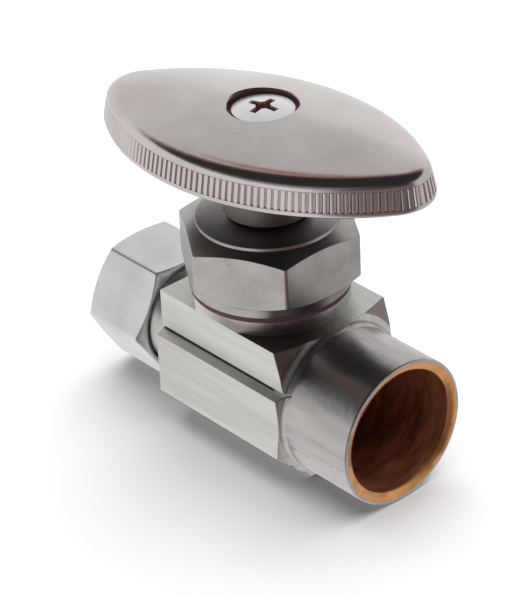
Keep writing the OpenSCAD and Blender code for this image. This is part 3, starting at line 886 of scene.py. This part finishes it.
def underside_rings():
    """Hub's outside up to the roof, and the roof out to the inside of the rim."""
    hub, roof = 5.45, LIP_Z + 4.3
    flare, inner = circle_ring(hub + 1.0, roof), outline_ring(2.1, LIP_Z + 3.9, 0.72)
    return [circle_ring(hub - 0.3, HUB_FOOT), circle_ring(hub, HUB_FOOT + 0.3),
            circle_ring(hub, roof - 1.2), circle_ring(hub + 0.3, roof - 0.5), flare,
            blend_rings(flare, inner, 0.5), inner,
            outline_ring(2.1, LIP_Z + 3.3, 0.88), outline_ring(2.3, LIP_Z + 2.7),
            outline_ring(1.75, LIP_Z + 2.1), outline_ring(1.35, LIP_Z + 0.3)]


def handle():
    """Closed shell through rings that all have the same number of points."""
    rings = rim_rings() + top_rings() + bore_rings()
    hub_edge = len(rings) + 1  # the hub's outer edge at its foot, where the rough casting and the hub's painted shade start
    rings += underside_rings()
    bm = bmesh.new()
    cast_and_hub_shade = bm.verts.layers.float.new("cast_inside")
    spin = Matrix.Rotation(HANDLE_TURN, 4, "Z")
    loops = [[bm.verts.new(spin @ Vector(p)) for p in ring] for ring in rings]
    for k, loop in enumerate(loops[hub_edge:] + loops[:1]):
        for v in loop:
            v[cast_and_hub_shade] = 0.78 if k < 2 else 1.0  # the hub's two loops are painted dark as shade, keeping a little of the plate
    for low, high in zip(loops, loops[1:] + loops[:1]):
        wall(bm, low, high)
    return solid("handle", bm)


def rib():
    """One rib of the reeding: a bar that leans in with the rim. Its outward side is +X."""
    sunk, foot_x, foot_half = -0.25, 0.04, 0.37
    crest_x, crest_half = RIB_DEPTH - 0.03, 0.24
    section = [(sunk, -foot_half), (foot_x, -foot_half), (crest_x, -crest_half), (crest_x + 0.03, 0),
               (crest_x, crest_half), (foot_x, foot_half), (sunk, foot_half)]
    overlap = 0.06
    return bar(*([(x - RIM_SLOPE * t, y, t) for x, y in section]
                 for t in (-overlap, RIB_LONG + overlap)))


def reeding(material):
    """Ribs set square to the rim at even steps round it, made by Geometry Nodes."""
    bm = bmesh.new()
    ring = [bm.verts.new((x, y, LIP_Z + RIB_FOOT)) for x, y in outline_points(RIB_DEPTH, 60, 240)]
    for a, b in zip(ring, ring[1:] + ring[:1]):
        bm.edges.new((a, b))
    mesh = bpy.data.meshes.new("rim_line")
    bm.to_mesh(mesh)
    bm.free()
    piece = placed("rim_line", mesh)
    shape = rib()

    rule = Rule("reeding", {"Rib count": RIBS, "Rib": shape})
    rim = rule.add("GeometryNodeMeshToCurve", {}, {"Mesh": rule.given("Geometry")})
    even = rule.add("GeometryNodeResampleCurve", {}, {"Curve": rim, "Count": rule.given("Rib count")})
    tangent = rule.add("GeometryNodeInputTangent", {}, {})
    aim = rule.add("FunctionNodeAxesToRotation", {"primary_axis": "Z", "secondary_axis": "Y"},
                   {"Primary Axis": (0, 0, 1), "Secondary Axis": tangent})
    one = rule.add("GeometryNodeObjectInfo", {}, {"Object": rule.given("Rib")}, "Geometry")
    row = rule.add("GeometryNodeInstanceOnPoints", {},
                   {"Points": even, "Instance": one, "Rotation": aim})
    rule.build(piece, row, material)
    bpy.data.objects.remove(shape)
    piece.data.transform(Matrix.Rotation(HANDLE_TURN, 4, "Z"))
    return piece


def handle_screw():
    """Oval head with a cross recess whose arms narrow downwards."""
    head_r, shank_r, tip_r, under_head_r = 3.85, 2.0, 1.7, 3.6
    rim_top = SCREW_SEAT + SCREW_RIM
    dome = (head_r ** 2 + SCREW_CROWN ** 2) / 2 / SCREW_CROWN
    crown = [(r, SCREW_TOP - dome + math.sqrt(dome ** 2 - r ** 2))
             for r in (head_r * math.sin(a) for a in arc(78, 66, 54, 42, 30, 18, 8))]
    piece = lathe([(0, SCREW_FOOT), (tip_r, SCREW_FOOT), (shank_r, SCREW_FOOT + 0.3),
                   (shank_r, SCREW_SEAT), (under_head_r, SCREW_SEAT), (head_r, SCREW_SEAT + 0.12),
                   (head_r, rim_top - 0.1), (head_r - 0.04, rim_top), *crown, (0, SCREW_TOP)], steps=96)
    # length, width and level of an arm of the cross, at its bottom and just over the head
    bottom, mouth = (2.6, 0.5, SCREW_TOP - 1.5), (CROSS_LONG, 0.98, SCREW_TOP + 0.3)
    for turn in arc(10, 100):
        bm = bmesh.new()
        bmesh.ops.create_cube(bm, size=1)
        for v in bm.verts:
            length, width, level = bottom if v.co.z < 0 else mouth
            v.co = (v.co.x * length, v.co.y * width, level)
        bmesh.ops.rotate(bm, verts=bm.verts, matrix=Matrix.Rotation(turn, 3, "Z"))
        cut(piece, "DIFFERENCE", solid("arm", bm))
    heart = lathe([(0, SCREW_TOP - 1.75), (0.85, SCREW_TOP - 0.9), (0.95, SCREW_TOP + 0.5),
                   (0, SCREW_TOP + 0.5)], steps=24)
    return cut(piece, "DIFFERENCE", heart)


# ---------------------------------------------------------------- the pieces

BODY_PLATE, BONNET_PLATE, NUT_PLATE = body_plate(), bonnet_plate(), nut_plate()
HANDLE_PLATE, SCREW_PLATE = handle_plate(), screw_plate()
BRASS, RUBBER, FIBRE, WHITE_PLASTIC = brass(), rubber(), fibre(), white_plastic()

finished(valve_body(), "plated_body", "valve", "body_plate", BODY_PLATE, "valve_body")
finished(bonnet(), "hex_bonnet", "valve", "bonnet_plate", BONNET_PLATE, "bonnet")
finished(compression_nut(), "outlet_nut", "nut", "nut_plate", NUT_PLATE, "compression_nut")
finished(handle(), "oval_handle", "spindle", "handle_plate", HANDLE_PLATE, "handle")
finished(reeding(HANDLE_PLATE), "handle_reeding", "spindle", "handle_plate", HANDLE_PLATE)
finished(outlet_thread(BODY_PLATE), "outlet_thread", "valve", "body_plate", BODY_PLATE)
finished(handle_screw(), "cross_screw", "spindle", "screw_plate", SCREW_PLATE, "handle_screw")

KEPT = {"stem": BRASS, "disc_holder": BRASS, "seat_washer_screw": BRASS, "packing_washer": BRASS,
        "compression_sleeve": BRASS, "seat_washer": RUBBER, "lower_o_ring": RUBBER,
        "upper_o_ring": RUBBER, "o_ring_spacer": WHITE_PLASTIC, "bonnet_gasket": FIBRE}
for node, material in KEPT.items():
    for entry in frame["nodes"][node].material_slots:
        entry.material = material


# ---------------------------------------------------------------- floor, light, camera

def floor():
    """Wide pale floor, kept out of the plate's reflections."""
    bpy.ops.mesh.primitive_plane_add(size=6)
    piece = bpy.context.object
    piece.name = "floor"
    made = Finish("pale_floor", 0.0)
    tone = made.noise(made.place, 0.002, 2.0)
    color = made.mix(tone, rgb(0.93, 0.93, 0.93), rgb(0.9, 0.9, 0.9))
    piece.data.materials.append(made.done(color, 0.9))
    piece.visible_glossy = False


def direction(azimuth, elevation):
    """Unit vector; azimuth 0 is towards -Y, and 90 towards +X."""
    a, e = math.radians(azimuth), math.radians(elevation)
    return Vector((math.sin(a) * math.cos(e), -math.cos(a) * math.cos(e), math.sin(e)))


def studio():
    """White room that greys upwards, with a dark side above and behind the viewer."""
    world = bpy.data.worlds.new("studio")
    bpy.context.scene.world = world
    world.use_nodes = True
    room = Tree(world.node_tree)
    place = room.add("ShaderNodeTexCoord", {}, {}, "Generated")

    def towards(azimuth, elevation):
        """1 in this direction, 0 square to it, -1 opposite."""
        return room.add("ShaderNodeVectorMath", {"operation": "DOT_PRODUCT"},
                        {0: place, 1: direction(azimuth, elevation)}, "Value")

    up = towards(0, 90)
    viewer = towards(VIEW_TURN, 0)
    low_edge = 0.29 - 0.3 * viewer
    dark = (viewer + 0.55 * (0.55 - up)).above(-0.6, -0.26) * (up - low_edge).above(-0.04, 0.1)
    depth = 0.62 + 0.33 * up.above(0.2, 0.5)
    # brown patch low down on the viewer's right, and a slow fall of light further round
    patch = towards(VIEW_TURN + 24, -12).above(0.66, 0.86)
    right = towards(VIEW_TURN + 80, -30).above(0.1, 0.8)
    level = (1.0 - 0.3 * up.above(0.15, 0.9)) * (1 - depth * dark) \
        * (1 - 0.72 * patch) * (1 - 0.25 * right)
    # warm light along the upper edge of the dark side
    warm = dark.above(0.1, 0.45) * (1 - dark.above(0.65, 0.96)) * up.above(0.45, 0.7)
    tint = room.mix((warm + patch * 0.4).above(0.0, 1.0), rgb(1.0, 0.985, 0.975), rgb(1.0, 0.4, 0.3))
    background = room.tree.nodes["Background"]
    connect(room.tree, tint, background.inputs["Color"])
    connect(room.tree, level, background.inputs["Strength"])


def soft_box(name, azimuth, elevation, away, size, power):
    """Round lamp that doesn't show in the plate."""
    light = bpy.data.lights.new(name, "AREA")
    light.shape = "DISK"
    light.size = size
    light.energy = power
    lamp = placed(name, light)
    lamp.location = direction(azimuth, elevation) * away
    lamp.rotation_euler = direction(azimuth, elevation).to_track_quat("Z", "Y").to_euler()
    lamp.visible_glossy = False


def camera():
    """Camera at the viewer's place, rolled about its own line of sight."""
    back = direction(VIEW_TURN, VIEW_RISE)
    turn = math.radians(VIEW_TURN)
    right = Vector((math.cos(turn), math.sin(turn), 0))
    up = back.cross(right)
    c, s = math.cos(math.radians(VIEW_ROLL)), math.sin(math.radians(VIEW_ROLL))
    right, up = right * c + up * s, up * c - right * s
    aim = Vector((0, 0, AXIS_Z)) + right * VIEW_AIM[0] + up * VIEW_AIM[1]
    lens = bpy.data.cameras.new("camera")
    lens.lens = VIEW_LENS
    lens.clip_start = 0.01
    eye = placed("camera", lens)
    place = Matrix((right, up, back)).transposed().to_4x4()
    place.translation = aim * MM + back * VIEW_DISTANCE
    eye.matrix_world = place
    bpy.context.scene.camera = eye


floor()
studio()
soft_box("overhead_box", azimuth=200, elevation=80, away=1.1, size=1.9, power=22.0)
camera()
bpy.context.scene.view_settings.view_transform = "Standard"
